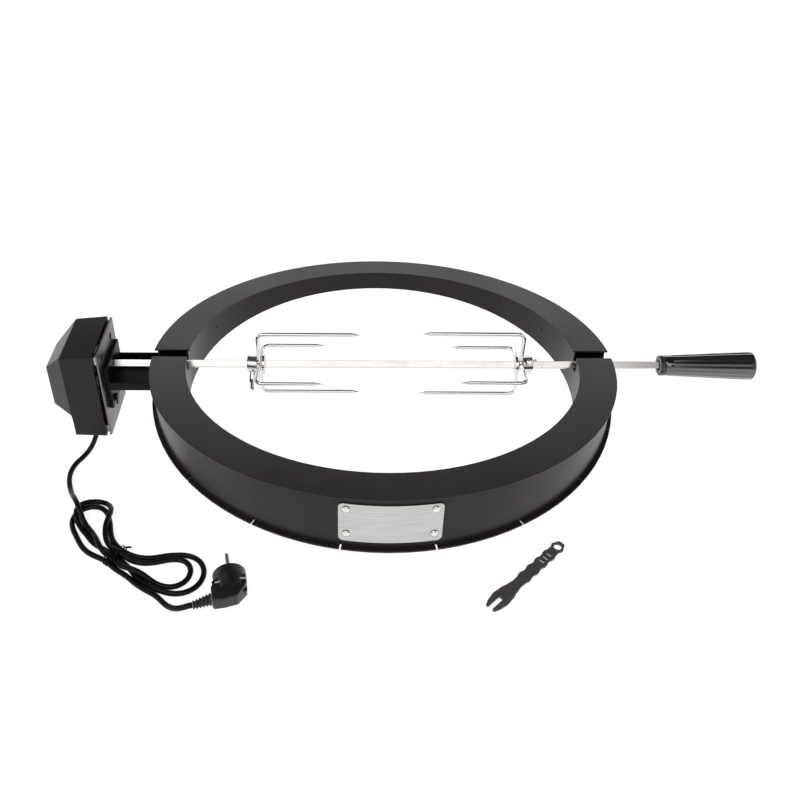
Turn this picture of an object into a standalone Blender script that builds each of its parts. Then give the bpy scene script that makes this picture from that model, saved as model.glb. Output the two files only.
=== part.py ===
"""Rotisserie spit roaster for a ceramic (kamado) grill: a wedge-shaped adapter ring, a gear
motor on a bracket, a square spit with two four-tine forks, its mains lead and a fork wrench.

Metres, +Z up, +X along the spit towards the handle. The origin is the centre of the ring's
seat circle, on the plane where the ring rests on the grill's rim.
"""
import bpy
import bmesh
from math import asin, cos, pi, radians, sin, sqrt, tan
from mathutils import Matrix, Vector

# ---------------------------------------------------------------- driving dimensions
GAP = 0.0003                    # clearance between touching pieces
SHEET = 0.002                   # sheet steel of the ring

RING_TOP_OUTER = 0.2650         # top plate, outer radius
RING_TOP_INNER = 0.2245         # top plate, inner radius
RING_WALL_OUTER = 0.2615        # outer wall, outer radius
RING_LIP_OUTER = 0.2660         # bottom lip, outer radius
RING_BORE = 0.2263              # inner wall, inner radius
RING_TOP_MID = 0.0373           # height of the top surface at the spit line
RING_SLOPE = tan(radians(6.907))    # the top falls towards the back
SKIRT_DROP = 0.016              # inner wall reaches this far below the seat
RING_STEPS = 96
SLIT_COUNT = 18                 # relief slits in the lip
SLIT_HALF = 0.0009
SLIT_TOP = 0.0065               # the slits run up into the outer wall
WELD_TURNS = (25, 45, 65, 115, 135, 155)    # weld studs on the inner wall, degrees
WELD_HEIGHT = 0.0072

SPIT_Z = 0.0220                 # height of the spit's axis
SPIT_SIDE = 0.008
SPIT_ROLL = radians(45)         # the square rod rests on an edge
NOTCH_HALF = 0.008

FLOOR = -0.115                  # surface on which the lead and the wrench lie
CORD_DIA = 0.0062

ARM_HALF = 0.030
ARM_LOW = 0.0055
ARM_HIGH = 0.0160
FLANGE_BACK = -0.3150
FLANGE_FRONT = -0.3120

MOTOR_HALF = 0.040
MOTOR_LOW = -0.0545
MOTOR_HIGH = 0.0582
MOTOR_DRAFT = 0.0014            # the housing widens towards its open rim by this each side
MOTOR_RISE = 0.0028             # and its top rises by this
MOTOR_RIM = -0.3230
MOTOR_SIDE = -0.3600
MOTOR_NOSE = -0.3835

FORK_REACH = 0.047              # tine distance from the spit's axis
FORK_OFFSET = 0.0074            # tine offset beside the hub
FORK_WIRE = 0.0024              # wire radius
FORK_NECK_CORNER = 0.0049       # where the two arms would meet beside the hub's neck
TINE_LONG = 0.116
TINE_SHORT = 0.074
LEFT_WIRE_X = -0.1422
RIGHT_WIRE_X = 0.1617

COLLAR_START = 0.3248
HANDLE_START = 0.3306
HANDLE_END = 0.4345

GLAND_POINT = (-0.3498, 0.0055)     # where the lead leaves the housing's underside
TIE_POINT = (-0.2930, -0.1740)      # waist of the tied hank
LEFT_LOBE = radians(124.5)
RIGHT_LOBE = radians(-18.6)
HANK_HEIGHT = 0.0131
WAIST_HALF = 0.0122
TIE_HALF = 0.0020
HANK_WIDE = 0.0282              # radius of a lobe's round end
LEFT_REACH = 0.0960
RIGHT_REACH = 0.1055

PLUG_FACE = (-0.1640, -0.2095)
PLUG_TURN = radians(102)
PLUG_RADIUS = 0.018
PLUG_SIDE = 0.0205              # the lead leaves the plug's left side at this distance
PLUG_THIN_START = 0.0200        # the plug's back thins from this far behind its face
PLUG_THIN_RUN = 0.0180
PLUG_THINNING = 0.34
RELIEF_LENGTH = 0.0195
RELIEF_DROP = 0.0040

WRENCH_START = (0.1098, -0.2410)
WRENCH_TURN = radians(43.9)
WRENCH_LENGTH = 0.1277
WRENCH_THICK = 0.0025
SCALLOP_PITCH = 0.0145


# ---------------------------------------------------------------- helpers
def clear_scene():
    for obj in list(bpy.data.objects):
        bpy.data.objects.remove(obj, do_unlink=True)


def material(name, colour, roughness, metallic):
    mat = bpy.data.materials.get(name)
    if mat:
        return mat
    mat = bpy.data.materials.new(name)
    mat.use_nodes = True
    shader = mat.node_tree.nodes["Principled BSDF"]
    shader.inputs["Base Color"].default_value = (*colour, 1.0)
    shader.inputs["Roughness"].default_value = roughness
    shader.inputs["Metallic"].default_value = metallic
    mat.diffuse_color = (*colour, 1.0)
    return mat


def link(obj, mat):
    bpy.context.scene.collection.objects.link(obj)
    if mat:
        obj.data.materials.clear()
        obj.data.materials.append(mat)
    return obj


def finish_mesh(name, bm, mat, smooth=None):
    bmesh.ops.remove_doubles(bm, verts=bm.verts, dist=1e-7)
    bmesh.ops.recalc_face_normals(bm, faces=bm.faces)
    mesh = bpy.data.meshes.new(name)
    bm.to_mesh(mesh)
    bm.free()
    if smooth is not None:
        mesh.shade_smooth()
        mesh.set_sharp_from_angle(angle=radians(smooth))
    return link(bpy.data.objects.new(name, mesh), mat)


def add_loops(bm, loops, closed_path, closed_profile=True):
    """Skin a list of equal-length vertex loops; cap the ends of an open path."""
    rows = [[bm.verts.new(p) for p in loop] for loop in loops]
    count = len(rows[0])
    span = len(rows) if closed_path else len(rows) - 1
    for i in range(span):
        low, high = rows[i], rows[(i + 1) % len(rows)]
        for j in range(count if closed_profile else count - 1):
            k = (j + 1) % count
            bm.faces.new((low[j], low[k], high[k], high[j]))
    if not closed_path:
        bm.faces.new(list(reversed(rows[0])))
        bm.faces.new(rows[-1])


def extrude(bm, outline, low, high, place):
    """A prism from a flat outline; place maps (a, b, height) to a point."""
    add_loops(bm, [[place(a, b, h) for a, b in outline] for h in (low, high)], False)


def revolve(bm, profile, steps, place, flute=None):
    """Turn (x, radius) pairs about the X axis of place, closed at both ends."""
    loops = []
    for x, r in profile:
        loop = []
        for k in range(steps):
            a = 2 * pi * k / steps
            rr = r * (flute(a, x) if flute else 1.0)
            loop.append(place(x, rr * cos(a), rr * sin(a)))
        loops.append(loop)
    add_loops(bm, loops, False)


def revolve_ring(bm, section, steps, place):
    """Turn a closed (x, radius) section about the X axis of place."""
    loops = []
    for k in range(steps):
        a = 2 * pi * k / steps
        loops.append([place(x, r * cos(a), r * sin(a)) for x, r in section])
    add_loops(bm, loops, True)


def box(bm, low, high):
    (x0, y0, z0), (x1, y1, z1) = low, high
    square = [(x0, y0), (x1, y0), (x1, y1), (x0, y1)]
    extrude(bm, square, z0, z1, lambda a, b, h: (a, b, h))


def plain(x, y, z):
    return (x, y, z)


def arc(centre, radius, start, end, steps):
    turn = [start + (end - start) * k / steps for k in range(steps + 1)]
    return [(centre[0] + radius * cos(t), centre[1] + radius * sin(t)) for t in turn]


def rounded_rectangle(half_a, half_b, radius, steps=4):
    points = []
    for sa, sb, start in ((1, 1, 0), (-1, 1, 90), (-1, -1, 180), (1, -1, 270)):
        centre = (sa * (half_a - radius), sb * (half_b - radius))
        points += arc(centre, radius, radians(start), radians(start + 90), steps)
    return points


def cutter(name, bm):
    obj = finish_mesh(name, bm, None)
    obj.hide_render = True
    obj.display_type = 'WIRE'
    return obj


def boolean(obj, other, operation):
    mod = obj.modifiers.new(operation.title(), 'BOOLEAN')
    mod.operation = operation
    mod.solver = 'EXACT'
    mod.object = other
    return mod


def smooth_curve(points, spacing):
    """Read points at an even spacing along a smooth curve through the route points."""
    pts = [Vector(p) for p in points]
    pts = [2 * pts[0] - pts[1]] + pts + [2 * pts[-1] - pts[-2]]
    fine = []
    for i in range(1, len(pts) - 2):
        p0, p1, p2, p3 = pts[i - 1:i + 3]
        for k in range(24):
            t = k / 24
            fine.append(0.5 * (2 * p1 + (p2 - p0) * t + (2 * p0 - 5 * p1 + 4 * p2 - p3) * t * t
                               + (3 * p1 - 3 * p2 + p3 - p0) * t ** 3))
    fine.append(pts[-2])
    length = sum((b - a).length for a, b in zip(fine, fine[1:]))
    count = max(2, round(length / spacing))
    out, run, want = [fine[0]], 0.0, length / count
    for a, b in zip(fine, fine[1:]):
        step = (b - a).length
        while run + step >= want * len(out) and len(out) < count:
            out.append(a.lerp(b, (want * len(out) - run) / step))
        run += step
    out.append(fine[-1])
    return out


def cord_tube(name, points, mat):
    curve = bpy.data.curves.new(name, 'CURVE')
    curve.dimensions = '3D'
    curve.bevel_depth = CORD_DIA / 2
    curve.bevel_resolution = 3
    curve.use_fill_caps = True
    spline = curve.splines.new('POLY')
    route = smooth_curve(points, 2.2 * CORD_DIA)
    for end, inner, slot in ((points[0], points[1], 1), (points[-1], points[-2], -1)):
        end, inner = Vector(end), Vector(inner)
        route.insert(slot, end + (inner - end).normalized() * CORD_DIA / 2)
    spline.points.add(len(route) - 1)
    for slot, p in zip(spline.points, route):
        slot.co = (*p, 1.0)
    return link(bpy.data.objects.new(name, curve), mat)


# ---------------------------------------------------------------- ring
def top_height(y):
    return RING_TOP_MID - RING_SLOPE * y


def polar(radius, angle, z):
    return (radius * cos(angle), radius * sin(angle), z)


def ring_angles(radius):
    """Azimuths round the ring, with the edges of both notches."""
    angles = {round(2 * pi * k / RING_STEPS, 6) for k in range(RING_STEPS)}
    edge = asin(NOTCH_HALF / radius)
    angles = {a for a in angles if min(abs(sin(a)), 1) * radius > NOTCH_HALF + 0.0015}
    for side in (0, pi):
        for k in range(9):
            a = side + edge * (k / 4 - 1)
            angles.add(round(a % (2 * pi), 6))
        for a in (side - edge - 1e-4, side + edge + 1e-4):
            angles.add(round(a % (2 * pi), 6))
    return sorted(angles)


def wall_top(angle, radius, edge_radius):
    """Upper edge of a ring wall, dipping into a round-bottomed notch at the spit."""
    y = radius * sin(angle)
    if abs(y) <= NOTCH_HALF + 1e-7:
        return SPIT_Z - sqrt(max(NOTCH_HALF ** 2 - y ** 2, 0.0))
    return top_height(edge_radius * sin(angle)) - SHEET - GAP


def lip_slits():
    """Short relief slits through the lip and the foot of the outer wall."""
    bm = bmesh.new()
    for k in range(SLIT_COUNT):
        angle = 2 * pi * k / SLIT_COUNT
        turn = Matrix.Rotation(angle, 4, 'Z')
        rim = top_height(RING_WALL_OUTER * sin(angle)) - SHEET

        def place(p, q, h, turn=turn):
            return turn @ Vector((p, q, h))

        low, high = RING_WALL_OUTER - SHEET - 0.002, RING_LIP_OUTER + 0.002
        block = [(low, -SLIT_HALF), (high, -SLIT_HALF), (high, SLIT_HALF), (low, SLIT_HALF)]
        extrude(bm, block, -0.002, min(SLIT_TOP, rim - 0.0014), place)
    return cutter("lip_slits", bm)


def build_ring(steel):
    bm = bmesh.new()
    loops = []
    inner, outer = RING_WALL_OUTER - SHEET, RING_WALL_OUTER
    for a in ring_angles(outer):
        loops.append([polar(inner, a, 0), polar(RING_LIP_OUTER, a, 0),
                      polar(RING_LIP_OUTER, a, SHEET), polar(outer, a, SHEET),
                      polar(outer, a, wall_top(a, outer, outer)),
                      polar(inner, a, wall_top(a, outer, inner))])
    add_loops(bm, loops, True)
    outer_wall = finish_mesh("ring_outer_wall", bm, steel, 25)
    boolean(outer_wall, lip_slits(), 'DIFFERENCE')

    bm = bmesh.new()
    inner, outer = RING_BORE, RING_BORE + SHEET
    loops = []
    for a in ring_angles(inner):
        loops.append([polar(inner, a, -SKIRT_DROP), polar(outer, a, -SKIRT_DROP),
                      polar(outer, a, wall_top(a, inner, outer)),
                      polar(inner, a, wall_top(a, inner, inner))])
    add_loops(bm, loops, True)
    inner_wall = finish_mesh("ring_inner_wall", bm, steel, 25)
    boolean(inner_wall, weld_studs(), 'UNION')

    bm = bmesh.new()
    low, high = RING_BORE + SHEET + GAP, RING_WALL_OUTER - SHEET - GAP
    loops = []
    for k in range(RING_STEPS):
        a = 2 * pi * k / RING_STEPS
        loops.append([polar(low, a, 0), polar(high, a, 0), polar(high, a, SHEET),
                      polar(low, a, SHEET)])
    add_loops(bm, loops, True)
    finish_mesh("ring_bottom_plate", bm, steel, 25)

    for name, start in (("ring_top_plate_front", pi), ("ring_top_plate_back", 0.0)):
        bm = bmesh.new()
        loops = []
        steps = RING_STEPS // 2
        for k in range(steps + 1):
            section = []
            for radius, drop in ((RING_TOP_INNER, SHEET), (RING_TOP_OUTER, SHEET),
                                 (RING_TOP_OUTER, 0), (RING_TOP_INNER, 0)):
                edge = asin(NOTCH_HALF / radius)
                a = start + edge + (pi - 2 * edge) * k / steps
                section.append(polar(radius, a, top_height(radius * sin(a)) - drop))
            loops.append(section)
        add_loops(bm, loops, False)
        finish_mesh(name, bm, steel, 25)


def dome(bm, place, radius, height, steps=10):
    """A low round rivet head; place maps (outward, across, up) to a point."""
    profile = [(0, radius), (height * 0.45, radius * 0.93), (height * 0.85, radius * 0.6),
               (height, radius * 0.2)]
    revolve(bm, profile, steps, place)


def weld_studs():
    """Low round studs on the inner wall where it is plug-welded to the ring's floor."""
    bm = bmesh.new()
    for turn in WELD_TURNS + tuple(-t for t in WELD_TURNS):
        a = radians(turn)

        def place(out, across, up, a=a):
            r = RING_BORE + 0.0006 - out
            return (r * cos(a) - across * sin(a), r * sin(a) + across * cos(a),
                    WELD_HEIGHT + up)

        dome(bm, place, 0.0025, 0.0016, 8)
    return cutter("weld_studs", bm)


def build_name_plate(stainless):
    """A blank, lightly curved plate with four dome rivets on the front of the ring."""
    low_z, high_z = 0.0104, 0.0594
    centre_z, half_h = (low_z + high_z) / 2, (high_z - low_z) / 2
    half_w, corner, shift = 0.0490, 0.005, 0.0012
    low, high = RING_WALL_OUTER + GAP, RING_WALL_OUTER + GAP + 0.0012
    widths = [-half_w + corner * (1 - cos(radians(t))) for t in (0, 22, 45, 67, 90)]
    middle = [-half_w + corner + (2 * half_w - 2 * corner) * k / 12 for k in range(1, 12)]
    columns = widths + middle + [-w for w in reversed(widths)]
    loops = []
    for w in columns:
        inset = max(abs(w) - (half_w - corner), 0.0)
        h = half_h - corner + sqrt(max(corner ** 2 - inset ** 2, 0.0))
        a = -pi / 2 + (w + shift) / RING_WALL_OUTER
        loops.append([polar(low, a, centre_z - h), polar(high, a, centre_z - h),
                      polar(high, a, centre_z + h), polar(low, a, centre_z + h)])
    bm = bmesh.new()
    add_loops(bm, loops, False)
    finish_mesh("name_plate", bm, stainless, 25)

    rivets = (("upper_left", -0.0414, 0.0526), ("upper_right", 0.0414, 0.0526),
              ("lower_left", -0.0414, 0.0206), ("lower_right", 0.0414, 0.0206))
    for tag, w, z in rivets:
        a = -pi / 2 + (w + shift) / RING_WALL_OUTER

        def place(out, across, up, a=a, z=z):
            r = high + GAP + out
            return (r * cos(a) - across * sin(a), r * sin(a) + across * cos(a), z + up)

        bm = bmesh.new()
        dome(bm, place, 0.0040, 0.0020, 16)
        finish_mesh("name_plate_rivet_" + tag, bm, stainless, 40)


# ---------------------------------------------------------------- bracket and motor
def build_bracket(steel, bolt_metal):
    """Slotted flange for the motor plate, and the channel arm that carries it."""
    rail_back, rail_in = -0.3172, 0.026
    section = [(FLANGE_FRONT, -ARM_HALF), (FLANGE_FRONT, ARM_HALF), (rail_back, ARM_HALF),
               (rail_back, rail_in), (FLANGE_BACK, rail_in), (FLANGE_BACK, -rail_in),
               (rail_back, -rail_in), (rail_back, -ARM_HALF)]
    bm = bmesh.new()
    extrude(bm, section, -0.021, 0.036, lambda a, b, h: (a, b, h))
    bracket = finish_mesh("motor_bracket", bm, steel)

    bm = bmesh.new()
    inner = ARM_HALF - SHEET
    channel = [(-ARM_HALF, ARM_LOW), (ARM_HALF, ARM_LOW), (ARM_HALF, ARM_HIGH),
               (inner, ARM_HIGH), (inner, ARM_LOW + SHEET), (-inner, ARM_LOW + SHEET),
               (-inner, ARM_HIGH), (-ARM_HALF, ARM_HIGH)]
    extrude(bm, channel, FLANGE_FRONT - 0.001, -0.250, lambda a, b, h: (h, a, b))
    boolean(bracket, cutter("bracket_channel", bm), 'UNION')

    bm = bmesh.new()
    steps = 192
    rim = [polar(RING_WALL_OUTER + GAP, 2 * pi * k / steps, 0)[:2] for k in range(steps)]
    extrude(bm, rim, -0.05, 0.06, lambda a, b, h: (a, b, h))
    boolean(bracket, cutter("bracket_ring_cut", bm), 'DIFFERENCE')

    bm = bmesh.new()
    revolve(bm, [(-0.325, 0.0070), (-0.305, 0.0070)], 24, lambda x, y, z: (x, y, SPIT_Z + z))
    boolean(bracket, cutter("bracket_shaft_hole", bm), 'DIFFERENCE')

    for tag, side in (("front", -1), ("back", 1)):
        def place(x, y, z, side=side):
            return (FLANGE_FRONT + GAP + x, side * 0.020 + y, -0.0120 + z)

        bm = bmesh.new()
        revolve(bm, [(0, 0.0046), (0.0030, 0.0046), (0.0035, 0.0040)], 6, place)
        finish_mesh("bracket_bolt_" + tag, bm, bolt_metal, 20)


def ellipse_prism(bm, y, z, half_y, half_z, low, high):
    ring = [(y + half_y * cos(2 * pi * k / 20), z + half_z * sin(2 * pi * k / 20))
            for k in range(20)]
    extrude(bm, ring, low, high, lambda a, b, h: (h, a, b))


def corners(low, high):
    return (("lower_front", -1, low), ("lower_back", 1, low),
            ("upper_front", -1, high), ("upper_back", 1, high))


def build_motor(plastic, plate_metal, black_steel, zinc):
    top = MOTOR_HIGH + MOTOR_RISE
    mid_z = (MOTOR_LOW + top) / 2
    half_z = (top - MOTOR_LOW) / 2
    back, front = -0.3195, -0.3175

    bm = bmesh.new()
    outline = rounded_rectangle(MOTOR_HALF, half_z, 0.002, 2)
    extrude(bm, outline, back, front, lambda a, b, h: (h, a, mid_z + b))
    plate = finish_mesh("motor_plate", bm, plate_metal)
    bm = bmesh.new()
    for y, z in ((-0.021, 0.0460), (0.021, 0.0460), (0.003, -0.0370)):
        ellipse_prism(bm, y, z, 0.0038, 0.0045, back - 0.003, front + 0.003)
    revolve(bm, [(back - 0.003, 0.0095), (front + 0.003, 0.0095)], 24,
            lambda x, y, z: (x, y, SPIT_Z + z))
    boolean(plate, cutter("motor_plate_holes", bm), 'DIFFERENCE')

    for tag, sy, z in corners(MOTOR_LOW + 0.0085, top - 0.0085):
        y = sy * (MOTOR_HALF - 0.0045)
        bm = bmesh.new()
        box(bm, (MOTOR_RIM - 0.0060, y - 0.0020, z - 0.0050),
            (back - GAP, y + 0.0020, z + 0.0050))
        finish_mesh("plate_spacer_" + tag, bm, zinc)

    bm = bmesh.new()
    outline = rounded_rectangle(0.0325, half_z - 0.0050, 0.004, 3)
    extrude(bm, outline, -0.3235, back - GAP, lambda a, b, h: (h, a, mid_z + b))
    frame = finish_mesh("gearbox_frame", bm, black_steel)
    bm = bmesh.new()
    revolve(bm, [(-0.330, 0.0095), (-0.310, 0.0095)], 24, lambda x, y, z: (x, y, SPIT_Z + z))
    boolean(frame, cutter("gearbox_frame_hole", bm), 'DIFFERENCE')

    bm = bmesh.new()
    outline = rounded_rectangle(0.030, 0.034, 0.006, 3)
    extrude(bm, outline, -0.3480, -0.3345, lambda a, b, h: (h, a, 0.014 + b))
    finish_mesh("gearbox_case", bm, zinc, 30)

    for tag, sy, z in corners(-0.012, 0.040):
        def place(x, y, zz, sy=sy, z=z):
            return (x, sy * 0.024 + y, z + zz)

        bm = bmesh.new()
        revolve(bm, [(-0.3342, 0.0035), (-0.3238, 0.0035)], 12, place)
        finish_mesh("gearbox_pillar_" + tag, bm, zinc, 40)

    bm = bmesh.new()
    profile = [(-0.3735, 0.0150), (-0.3725, 0.0180), (-0.3500, 0.0180), (-0.3483, 0.0170)]
    revolve(bm, profile, 28, lambda x, y, z: (x, y, 0.0075 + z))
    finish_mesh("motor_can", bm, zinc, 30)

    housing_shell(plastic)


def nose_block(bm, wall, rim):
    """Upright box with a hipped nose, moved in by one wall thickness for the cavity."""
    half = MOTOR_HALF - wall
    low, high = MOTOR_LOW + wall, MOTOR_HIGH - wall
    side, nose = MOTOR_SIDE + wall, MOTOR_NOSE + wall
    flare = (rim - side) / (MOTOR_RIM - MOTOR_SIDE)
    wide, tall = half + MOTOR_DRAFT * flare, high + MOTOR_RISE * flare
    base_low = -0.0255 + wall
    ny, nz_low, nz_high = 0.023 - wall * 0.6, -0.0206 + wall * 0.8, 0.0335 - wall * 0.6
    rows = [
        [(rim, -wide, low), (rim, wide, low), (rim, wide, tall), (rim, -wide, tall)],
        [(side, -half, low), (side, half, low), (side, half, high), (side, -half, high)],
    ]
    r = [[bm.verts.new(p) for p in row] for row in rows]
    b = [bm.verts.new(p) for p in ((side, -half, base_low), (side, half, base_low))]
    t = [bm.verts.new(p) for p in ((nose, -ny, nz_low), (nose, ny, nz_low),
                                   (nose, ny, nz_high), (nose, -ny, nz_high))]
    faces = [
        (r[0][0], r[0][1], r[0][2], r[0][3]),
        (r[0][0], r[1][0], r[1][1], r[0][1]),
        (r[0][3], r[0][2], r[1][2], r[1][3]),
        (r[0][0], r[0][3], r[1][3], b[0], r[1][0]),
        (r[0][1], r[1][1], b[1], r[1][2], r[0][2]),
        (r[1][0], b[0], b[1], r[1][1]),
        (b[0], t[0], t[1], b[1]),
        (b[0], r[1][3], t[3], t[0]),
        (b[1], t[1], t[2], r[1][2]),
        (r[1][3], r[1][2], t[2], t[3]),
        (t[0], t[3], t[2], t[1]),
    ]
    for face in faces:
        bm.faces.new(face)


def housing_shell(plastic):
    wall = 0.0025
    bm = bmesh.new()
    nose_block(bm, 0.0, MOTOR_RIM)
    edges = [e for e in bm.edges if not all(abs(v.co.x - MOTOR_RIM) < 1e-6 for v in e.verts)]
    bmesh.ops.bevel(bm, geom=edges, offset=0.0014, segments=2, affect='EDGES',
                    offset_type='OFFSET', profile=0.5)
    housing = finish_mesh("motor_housing", bm, plastic, 30)
    bm = bmesh.new()
    nose_block(bm, wall, MOTOR_RIM + 0.01)
    boolean(housing, cutter("housing_cavity", bm), 'DIFFERENCE')
    bm = bmesh.new()
    x, y = GLAND_POINT
    revolve(bm, [(MOTOR_LOW - 0.002, 0.0054), (MOTOR_LOW + 0.004, 0.0054)], 20,
            lambda h, a, b: (x + a, y + b, h))
    boolean(housing, cutter("housing_cord_hole", bm), 'DIFFERENCE')


# ---------------------------------------------------------------- spit and forks
def spit_place(bm_object, x=0.0, roll=0.0):
    bm_object.location = (x, 0.0, SPIT_Z)
    bm_object.rotation_euler = (roll, 0.0, 0.0)


def build_spit(stainless, zinc, gloss, dark):
    half = SPIT_SIDE / 2
    end = half - 0.0008
    bm = bmesh.new()
    loops = []
    for x, h in ((-0.3315, end), (-0.3303, half), (0.3520, half), (0.3530, end)):
        loops.append([(x, -h, -h), (x, h, -h), (x, h, h), (x, -h, h)])
    add_loops(bm, loops, False)
    spit_place(finish_mesh("spit_rod", bm, stainless), roll=SPIT_ROLL)

    bm = bmesh.new()
    profile = [(-0.3342, 0.0110), (-0.3320, 0.0110), (-0.3318, 0.0080), (-0.3172, 0.0080),
               (-0.3165, 0.0073)]
    revolve(bm, profile, 28, plain)
    socket = finish_mesh("drive_socket", bm, zinc, 30)
    bm = bmesh.new()
    bore = half + GAP
    box(bm, (-0.3325, -bore, -bore), (-0.310, bore, bore))
    bore_cut = cutter("socket_bore", bm)
    spit_place(bore_cut, roll=SPIT_ROLL)
    spit_place(socket)
    boolean(socket, bore_cut, 'DIFFERENCE')

    def flute(a, x):
        deep = 0.055 if HANDLE_START + 0.008 < x < HANDLE_END - 0.004 else 0.0
        return 1.0 - deep * (0.5 - 0.5 * cos(16 * a))

    length = HANDLE_END - HANDLE_START
    profile = []
    for t, r in ((0, 0.0100), (0.004, 0.0117), (0.030, 0.0119), (0.0735, 0.0124),
                 (0.090, 0.0124), (0.25, 0.0132), (0.45, 0.0142), (0.65, 0.0152),
                 (0.90, 0.0163), (0.975, 0.0165), (0.988, 0.0161), (0.997, 0.0150),
                 (1.0, 0.0132)):
        profile.append((HANDLE_START + length * t, r))
    bm = bmesh.new()
    revolve(bm, profile, 80, plain, flute)
    grip = finish_mesh("handle_grip", bm, gloss, 40)
    spit_place(grip)
    bm = bmesh.new()
    revolve(bm, [(HANDLE_START - 0.01, 0.0062), (0.3540, 0.0062)], 20, plain)
    grip_cut = cutter("handle_bore", bm)
    spit_place(grip_cut)
    boolean(grip, grip_cut, 'DIFFERENCE')

    bm = bmesh.new()
    start, stop = COLLAR_START, HANDLE_START - GAP
    section = [(start, 0.0062), (start, 0.0112), (start + 0.0008, 0.0119), (stop, 0.0119),
               (stop, 0.0062)]
    revolve_ring(bm, section, 32, plain)
    collar = finish_mesh("handle_collar", bm, dark, 30)
    spit_place(collar)
    bm = bmesh.new()
    for k in range(8):
        a = 2 * pi * k / 8
        turn = Matrix.Rotation(a, 4, 'X')

        def place(p, q, h, turn=turn):
            return turn @ Vector((h, p, q))

        extrude(bm, [(0.0106, -0.0013), (0.0135, -0.0013), (0.0135, 0.0013),
                     (0.0106, 0.0013)], start - 0.002, start + 0.0034, place)
    notches = cutter("handle_collar_notches", bm)
    spit_place(notches)
    boolean(collar, notches, 'DIFFERENCE')


def rounded_route(corners, bends, steps=4):
    """The corners joined by straight runs, with an arc of the given radius at each bend."""
    pts = [Vector(p) for p in corners]
    route = [pts[0]]
    for before, corner, after, bend in zip(pts, pts[1:], pts[2:], bends):
        u, v = (before - corner).normalized(), (after - corner).normalized()
        half = u.angle(v) / 2
        centre = corner + (u + v).normalized() * bend / sin(half)
        start = corner + u * bend / tan(half) - centre
        end = corner + v * bend / tan(half) - centre
        sweep_angle = pi - 2 * half
        for k in range(steps + 1):
            t = k / steps
            blend = start * sin((1 - t) * sweep_angle) + end * sin(t * sweep_angle)
            route.append(centre + blend / sin(sweep_angle))
    return route + [pts[-1]]


def fork_wire(name, out, flip, mat):
    """One bent wire: a long tine, an arm to the hub, past its neck, and an arm to a short tine.

    out is +1 or -1 along the tines; flip turns the wire half a turn about the spit."""
    reach, off, neck = FORK_REACH, FORK_OFFSET, FORK_NECK_CORNER
    taper = 0.009
    corners_at = [(TINE_LONG - taper, -off, reach), (0, -off, reach), (0, -neck, neck),
                  (0, -reach, off), (TINE_SHORT - taper, -reach, off)]
    route = rounded_route(corners_at, (0.0070, 0.0060, 0.0070), 5)
    tip_long = [Vector((TINE_LONG - d, -off, reach)) for d in (0.0, 0.0035)]
    tip_short = [Vector((TINE_SHORT - d, -reach, off)) for d in (0.0035, 0.0)]
    radii = [0.0004, 0.0011] + [FORK_WIRE] * len(route) + [0.0011, 0.0004]
    points = [Vector((out * p.x, flip * p.y, flip * p.z)) for p in tip_long + route + tip_short]
    bm = bmesh.new()
    sweep(bm, points, radii, 10)
    return finish_mesh(name, bm, mat, 50)


def sweep(bm, points, radii, sides):
    loops = []
    normal = Vector((0, 1, 0.3)).normalized()
    for i, p in enumerate(points):
        ahead = points[min(i + 1, len(points) - 1)] - p
        behind = p - points[max(i - 1, 0)]
        tangent = (ahead.normalized() + behind.normalized()).normalized()
        normal = (normal - tangent * normal.dot(tangent)).normalized()
        other = tangent.cross(normal)
        ring = []
        for k in range(sides):
            a = 2 * pi * k / sides
            ring.append(p + radii[i] * (normal * cos(a) + other * sin(a)))
        loops.append(ring)
    add_loops(bm, loops, False)


def build_fork(side, wire_x, out, wire_turn, screw_turn, wing_turn, stainless):
    """Hub (collar, neck and disc), two bent wires and a wing screw."""
    profile = [(-0.0140, 0.0098), (-0.0134, 0.0105), (-0.0030, 0.0105), (-0.0028, 0.0101),
               (-0.0028, 0.0066), (0.0028, 0.0066), (0.0028, 0.0113),
               (0.0033, 0.0117), (0.0060, 0.0117), (0.0064, 0.0112)]
    bm = bmesh.new()
    revolve(bm, [(out * x, r) for x, r in profile], 32, plain)
    hub = finish_mesh(side + "_fork_hub", bm, stainless, 30)
    spit_place(hub, wire_x)
    bore = SPIT_SIDE / 2 + GAP
    bm = bmesh.new()
    box(bm, (-0.03, -bore, -bore), (0.03, bore, bore))
    cut = cutter(side + "_fork_bore", bm)
    spit_place(cut, wire_x, SPIT_ROLL)
    boolean(hub, cut, 'DIFFERENCE')

    turn = Matrix.Rotation(screw_turn, 4, 'X')
    screw_x = -out * 0.0083

    def along(h, a, b):
        return turn @ Vector((a, -h, b))

    bm = bmesh.new()
    revolve(bm, [(0.002, 0.0033), (0.020, 0.0033)], 16,
            lambda h, a, b: along(h, a + screw_x, b))
    cut = cutter(side + "_fork_screw_hole", bm)
    spit_place(cut, wire_x)
    boolean(hub, cut, 'DIFFERENCE')

    for tag, flip in (("front", 1), ("rear", -1)):
        wire = fork_wire(side + "_fork_wire_" + tag, out, flip, stainless)
        spit_place(wire, wire_x, wire_turn)

    build_wing_screw(side + "_thumb_screw", stainless, wing_turn)
    screw = bpy.data.objects[side + "_thumb_screw"]
    screw.matrix_world = Matrix.Translation((wire_x + screw_x, 0, SPIT_Z)) @ turn


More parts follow.
